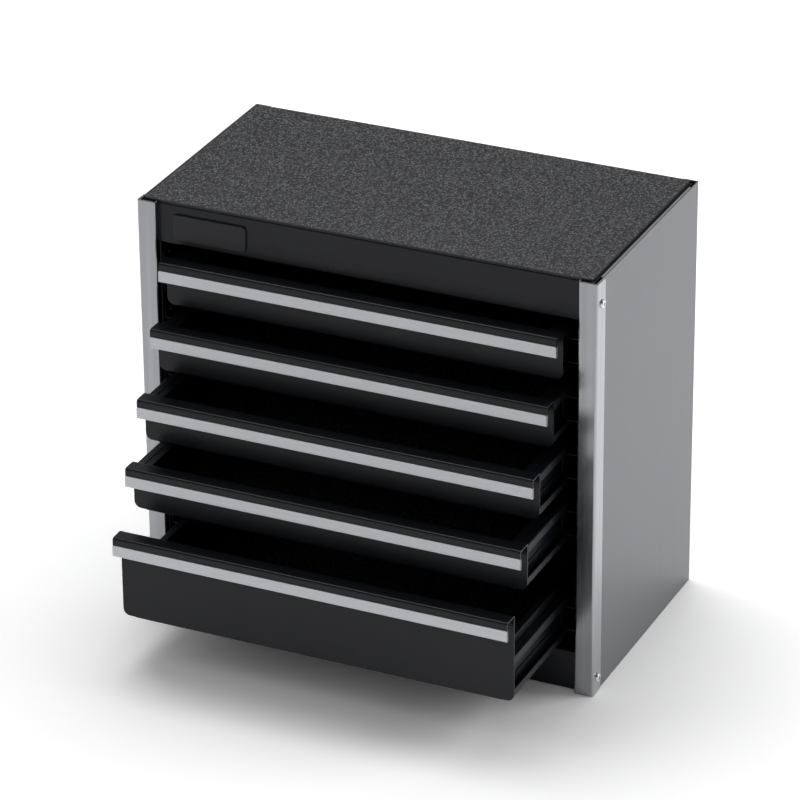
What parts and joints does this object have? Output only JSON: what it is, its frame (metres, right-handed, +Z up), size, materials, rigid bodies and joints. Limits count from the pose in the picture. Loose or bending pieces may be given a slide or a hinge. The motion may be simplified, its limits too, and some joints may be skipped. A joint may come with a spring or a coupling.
{
  "type": "drawer box",
  "caption": "Small steel drawer box with shallow drawers and one deep drawer on slides, a mat-topped cabinet, brushed corner trims and full-width folded pulls.",
  "frame": {"origin": "centre of the cabinet's footprint, on the surface that it stands on", "axes": "+Z up, -Y out of the drawer fronts, +X to the right seen from the front"},
  "size_m": [0.3334, 0.2709, 0.3036],
  "materials": {
    "side_paint": "satin",
    "black_paint": "semi-gloss",
    "inner_paint": "satin",
    "brushed_trim": "brushed",
    "pull_aluminium": "matte",
    "top_rubber": "pebbled",
    "liner_rubber": "pebbled",
    "plate_plastic": "satin",
    "bright_screw": "plated",
    "rivet_steel": "plain"
  },
  "bodies": {
    "cabinet": {"left_side_panel": "side_paint", "right_side_panel": "side_paint", "back_panel": "black_paint", "base_panel": "black_paint", "front_bottom_rail": "black_paint", "top_panel": "black_paint", "top_mat": "top_rubber", "name_plate": "plate_plastic", "left_corner_trim": "brushed_trim", "right_corner_trim": "brushed_trim", "trim_screws": "bright_screw", "left_front_upright": "inner_paint", "right_front_upright": "inner_paint", "left_rear_upright": "inner_paint", "right_rear_upright": "inner_paint", "rail_rivets": "rivet_steel", "back_rivets": "rivet_steel", "drawer_1_left_rail": "inner_paint", "drawer_1_right_rail": "inner_paint", "drawer_2_left_rail": "inner_paint", "drawer_2_right_rail": "inner_paint", "drawer_3_left_rail": "inner_paint", "drawer_3_right_rail": "inner_paint", "drawer_4_left_rail": "inner_paint", "drawer_4_right_rail": "inner_paint", "drawer_5_left_rail": "inner_paint", "drawer_5_right_rail": "inner_paint"},
    "drawer_1": {"drawer_1_tray": "inner_paint", "drawer_1_front": "black_paint", "drawer_1_pull_strip": "pull_aluminium", "drawer_1_liner": "liner_rubber", "drawer_1_left_runner": "inner_paint", "drawer_1_right_runner": "inner_paint"},
    "drawer_2": {"drawer_2_tray": "inner_paint", "drawer_2_front": "black_paint", "drawer_2_pull_strip": "pull_aluminium", "drawer_2_liner": "liner_rubber", "drawer_2_left_runner": "inner_paint", "drawer_2_right_runner": "inner_paint"},
    "drawer_3": {"drawer_3_tray": "inner_paint", "drawer_3_front": "black_paint", "drawer_3_pull_strip": "pull_aluminium", "drawer_3_liner": "liner_rubber", "drawer_3_left_runner": "inner_paint", "drawer_3_right_runner": "inner_paint"},
    "drawer_4": {"drawer_4_tray": "inner_paint", "drawer_4_front": "black_paint", "drawer_4_pull_strip": "pull_aluminium", "drawer_4_liner": "liner_rubber", "drawer_4_left_runner": "inner_paint", "drawer_4_right_runner": "inner_paint"},
    "drawer_5": {"drawer_5_tray": "inner_paint", "drawer_5_front": "black_paint", "drawer_5_pull_strip": "pull_aluminium", "drawer_5_liner": "liner_rubber", "drawer_5_left_runner": "inner_paint", "drawer_5_right_runner": "inner_paint"}
  },
  "joints": [
    {"name": "drawer_1_slide", "type": "slide", "parent": "cabinet", "child": "drawer_1", "axis": [0, -1, 0], "range_m": [-0.003, 0.117]},
    {"name": "drawer_2_slide", "type": "slide", "parent": "cabinet", "child": "drawer_2", "axis": [0, -1, 0], "range_m": [-0.018, 0.102]},
    {"name": "drawer_3_slide", "type": "slide", "parent": "cabinet", "child": "drawer_3", "axis": [0, -1, 0], "range_m": [-0.04, 0.08]},
    {"name": "drawer_4_slide", "type": "slide", "parent": "cabinet", "child": "drawer_4", "axis": [0, -1, 0], "range_m": [-0.0595, 0.0605]},
    {"name": "drawer_5_slide", "type": "slide", "parent": "cabinet", "child": "drawer_5", "axis": [0, -1, 0], "range_m": [-0.0805, 0.0395]}
  ]
}
